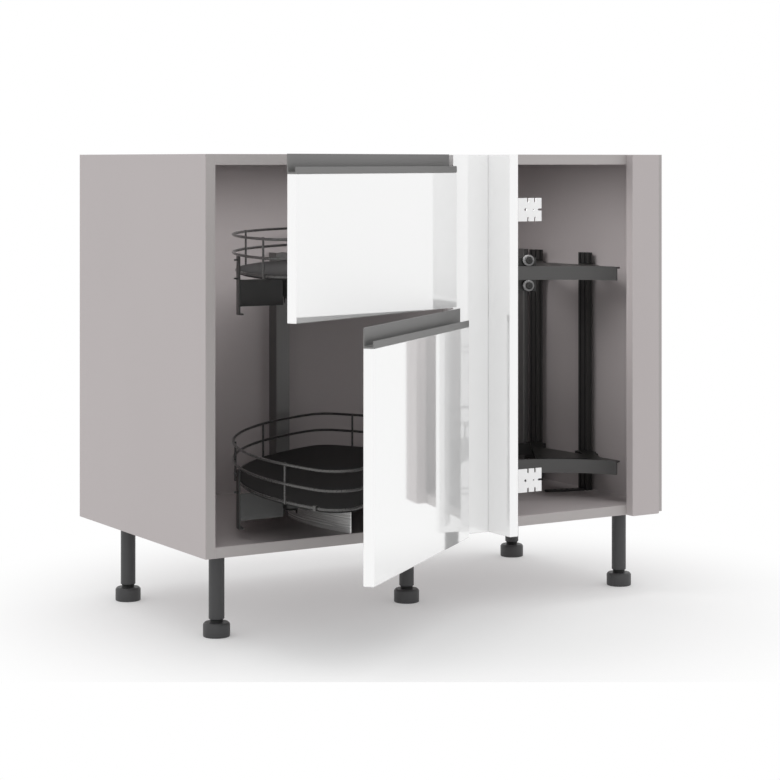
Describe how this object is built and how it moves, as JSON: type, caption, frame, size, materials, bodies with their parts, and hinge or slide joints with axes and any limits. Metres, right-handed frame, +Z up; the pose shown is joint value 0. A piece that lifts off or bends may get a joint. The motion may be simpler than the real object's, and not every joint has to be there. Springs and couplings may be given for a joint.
{
  "type": "corner base cabinet",
  "caption": "Corner base cabinet on legs: split doors hinged beside a corner filler, each driving a half-round wire-edged tray that turns on a curved rail.",
  "frame": {"origin": "centre of the middle leg's sole, on the floor", "axes": "+X along the cabinet's width, from the door side to the side with the end filler; +Y from the front to the wall; +Z up"},
  "size_m": [1, 0.9008, 0.85],
  "materials": {
    "carcass_board": "taupe melamine on chipboard, satin",
    "white_gloss_front": "white high-gloss laminate",
    "handle_profile": "warm grey anodised, satin",
    "white_bracket": "white powder coat",
    "leg_plastic": "dark grey moulded plastic",
    "hinge_steel": "nickel-plated steel",
    "tray_laminate": "black laminate, satin",
    "black_wire": "black powder coat",
    "roller_plastic": "grey moulded plastic",
    "black_metal": "dark powder-coated steel"
  },
  "bodies": {
    "carcass": {"back_panel": "carcass_board", "beam_post": "black_metal", "bottom_panel": "carcass_board", "centre_stile": "carcass_board", "corner_filler_front": "white_gloss_front", "corner_filler_return": "white_gloss_front", "end_filler": "carcass_board", "front_guide_band": "black_metal", "front_rail_post": "black_metal", "left_side_panel": "carcass_board", "leg_feet": "leg_plastic", "leg_flanges": "leg_plastic", "leg_tubes": "leg_plastic", "lower_carrier_beam": "black_metal", "lower_cross_plate": "black_metal", "lower_curved_rail": "black_metal", "lower_filler_bracket": "white_bracket", "lower_glide_hub": "black_metal", "lower_hinge_arms": "hinge_steel", "lower_post_clamps": "black_metal", "lower_rail_plate": "black_metal", "lower_rear_tie": "black_metal", "lower_rim_guide": "black_metal", "post_feet": "black_metal", "rear_plate_post": "black_metal", "rear_rail_post": "black_metal", "right_side_panel": "carcass_board", "top_panel": "carcass_board", "upper_carrier_beam": "black_metal", "upper_cross_plate": "black_metal", "upper_curved_rail": "black_metal", "upper_filler_bracket": "white_bracket", "upper_glide_hub": "black_metal", "upper_hinge_arms": "hinge_steel", "upper_post_clamps": "black_metal", "upper_rail_plate": "black_metal", "upper_rear_tie": "black_metal", "upper_rim_guide": "black_metal"},
    "upper_door": {"upper_door_panel": "white_gloss_front", "upper_door_handle": "handle_profile", "upper_hinge_cups": "hinge_steel"},
    "upper_tray": {"upper_tray_board": "tray_laminate", "upper_tray_basket": "black_wire", "upper_tray_carriage": "black_metal"},
    "lower_door": {"lower_door_panel": "white_gloss_front", "lower_door_handle": "handle_profile", "lower_hinge_cups": "hinge_steel"},
    "lower_tray": {"lower_tray_board": "tray_laminate", "lower_tray_basket": "black_wire", "lower_tray_carriage": "black_metal"},
    "lower_roller_lead_high": {"lower_roller_lead_high": "roller_plastic"},
    "lower_roller_lead_low": {"lower_roller_lead_low": "roller_plastic"},
    "lower_roller_trail_high": {"lower_roller_trail_high": "roller_plastic"},
    "lower_roller_trail_low": {"lower_roller_trail_low": "roller_plastic"},
    "upper_roller_lead_high": {"upper_roller_lead_high": "roller_plastic"},
    "upper_roller_lead_low": {"upper_roller_lead_low": "roller_plastic"},
    "upper_roller_trail_high": {"upper_roller_trail_high": "roller_plastic"},
    "upper_roller_trail_low": {"upper_roller_trail_low": "roller_plastic"}
  },
  "joints": [
    {"name": "upper_door_swing", "type": "hinge", "parent": "carcass", "child": "upper_door", "pos_m": [0.025, -0.168, 0.71], "axis": [0, 0, 1], "range_deg": [-24.2, 61.8]},
    {"name": "upper_tray_turn", "type": "hinge", "parent": "carcass", "child": "upper_tray", "pos_m": [0.2, -0.234, 0.64], "axis": [0, 0, 1], "range_deg": [-21.1, 53.82]},
    {"name": "upper_roller_trail_low_spin", "type": "hinge", "parent": "upper_tray", "child": "upper_roller_trail_low", "pos_m": [0.27999, -0.00454, 0.5927], "axis": [0.3292, 0.9443, 0], "range_deg": [-466.1, 1188.7]},
    {"name": "upper_roller_trail_high_spin", "type": "hinge", "parent": "upper_tray", "child": "upper_roller_trail_high", "pos_m": [0.27999, -0.00454, 0.6423], "axis": [0.3292, 0.9443, 0], "range_deg": [-1188.7, 466.1]},
    {"name": "upper_roller_lead_low_spin", "type": "hinge", "parent": "upper_tray", "child": "upper_roller_lead_low", "pos_m": [0.23893, 0.00586, 0.5927], "axis": [0.1602, 0.9871, 0], "range_deg": [-466.1, 1188.7]},
    {"name": "upper_roller_lead_high_spin", "type": "hinge", "parent": "upper_tray", "child": "upper_roller_lead_high", "pos_m": [0.23893, 0.00586, 0.6423], "axis": [0.1602, 0.9871, 0], "range_deg": [-1188.7, 466.1]},
    {"name": "lower_door_swing", "type": "hinge", "parent": "carcass", "child": "lower_door", "pos_m": [0.052, -0.164, 0.359], "axis": [0, 0, 1], "range_deg": [-38.2, 47.8]},
    {"name": "lower_tray_turn", "type": "hinge", "parent": "carcass", "child": "lower_tray", "pos_m": [0.2, -0.234, 0.26], "axis": [0, 0, 1], "range_deg": [-36.34, 45.46]},
    {"name": "lower_roller_trail_low_spin", "type": "hinge", "parent": "lower_tray", "child": "lower_roller_trail_low", "pos_m": [0.21683, 0.00842, 0.2127], "axis": [0.0693, 0.9976, 0], "range_deg": [-802.7, 1004.1]},
    {"name": "lower_roller_trail_high_spin", "type": "hinge", "parent": "lower_tray", "child": "lower_roller_trail_high", "pos_m": [0.21683, 0.00842, 0.2623], "axis": [0.0693, 0.9976, 0], "range_deg": [-1004.1, 802.7]},
    {"name": "lower_roller_lead_low_spin", "type": "hinge", "parent": "lower_tray", "child": "lower_roller_lead_low", "pos_m": [0.17448, 0.00766, 0.2127], "axis": [-0.105, 0.9945, 0], "range_deg": [-802.7, 1004.1]},
    {"name": "lower_roller_lead_high_spin", "type": "hinge", "parent": "lower_tray", "child": "lower_roller_lead_high", "pos_m": [0.17448, 0.00766, 0.2623], "axis": [-0.105, 0.9945, 0], "range_deg": [-1004.1, 802.7]}
  ],
  "couplings": [
    {"joint": "upper_tray_turn", "follows": "upper_door_swing", "ratio": 0.87},
    {"joint": "upper_roller_trail_low_spin", "follows": "upper_door_swing", "ratio": 19.219},
    {"joint": "upper_roller_trail_high_spin", "follows": "upper_door_swing", "ratio": -19.219},
    {"joint": "upper_roller_lead_low_spin", "follows": "upper_door_swing", "ratio": 19.219},
    {"joint": "upper_roller_lead_high_spin", "follows": "upper_door_swing", "ratio": -19.219},
    {"joint": "lower_tray_turn", "follows": "lower_door_swing", "ratio": 0.95},
    {"joint": "lower_roller_trail_low_spin", "follows": "lower_door_swing", "ratio": 20.986},
    {"joint": "lower_roller_trail_high_spin", "follows": "lower_door_swing", "ratio": -20.986},
    {"joint": "lower_roller_lead_low_spin", "follows": "lower_door_swing", "ratio": 20.986},
    {"joint": "lower_roller_lead_high_spin", "follows": "lower_door_swing", "ratio": -20.986}
  ]
}
